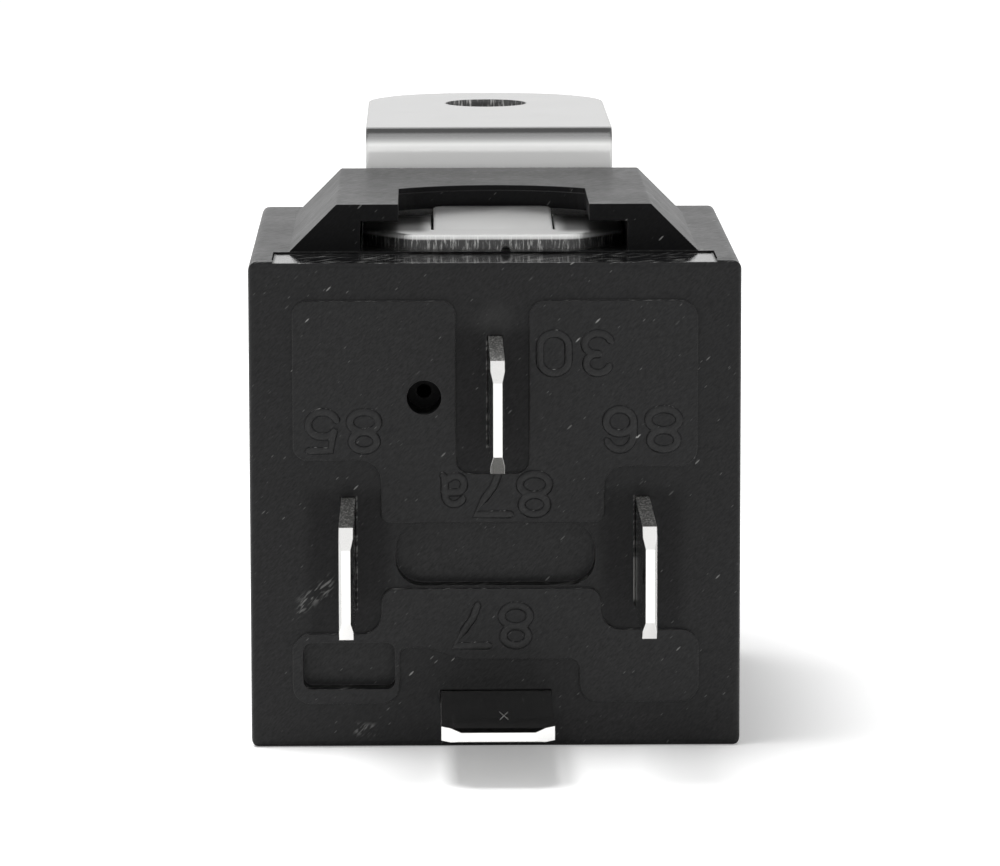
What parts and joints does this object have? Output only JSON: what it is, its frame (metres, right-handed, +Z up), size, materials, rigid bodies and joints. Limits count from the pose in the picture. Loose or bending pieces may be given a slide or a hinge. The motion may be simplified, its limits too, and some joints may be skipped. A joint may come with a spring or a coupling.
{
  "type": "automotive relay",
  "caption": "Plug-in automotive relay: square plastic body, flat blade terminals, a vented base and a folded steel mounting bracket; a hinged armature closes the contacts inside.",
  "frame": {"origin": "on the surface that the relay lies on, under the middle of its overall box", "axes": "+Z up out of the side with the mounting bracket; -Y the way the blades point, +Y the way the bracket's tab points; +X to the right seen from the blade side"},
  "size_m": [0.028, 0.0634, 0.033],
  "materials": {
    "cover_plastic": "fine spark texture, scuffed",
    "base_plastic": "fine spark texture, smooth apron",
    "bracket_steel": "bright plated",
    "blade_metal": "tin plated",
    "contact_metal": "silver alloy",
    "soft_iron": "nickel plated",
    "rivet_steel": "plain",
    "bobbin_plastic": "natural",
    "enamelled_copper": "enamelled",
    "spring_bronze": "rolled"
  },
  "bodies": {
    "relay": {"cover": "cover_plastic", "base": "base_plastic", "mounting_bracket": "bracket_steel", "terminal_30": "blade_metal", "terminal_85": "blade_metal", "terminal_86": "blade_metal", "terminal_87": "blade_metal", "fixed_contact": "contact_metal", "yoke": "soft_iron", "core": "soft_iron", "bobbin": "bobbin_plastic", "coil_winding": "enamelled_copper", "coil_lead_85": "enamelled_copper", "coil_lead_86": "enamelled_copper", "yoke_rivet_left": "rivet_steel", "yoke_rivet_right": "rivet_steel"},
    "armature": {"armature": "soft_iron", "contact_spring": "spring_bronze", "moving_contact": "contact_metal", "armature_rivet_left": "rivet_steel", "armature_rivet_right": "rivet_steel"}
  },
  "joints": [
    {"name": "armature_pivot", "type": "hinge", "parent": "relay", "child": "armature", "pos_m": [0, 0.00401, 0.0242], "axis": [-1, 0, 0], "range_deg": [0, 3], "stiffness_Nm_per_rad": 0.03, "springref_deg": -5.73, "deforming": ["contact_spring"]}
  ]
}
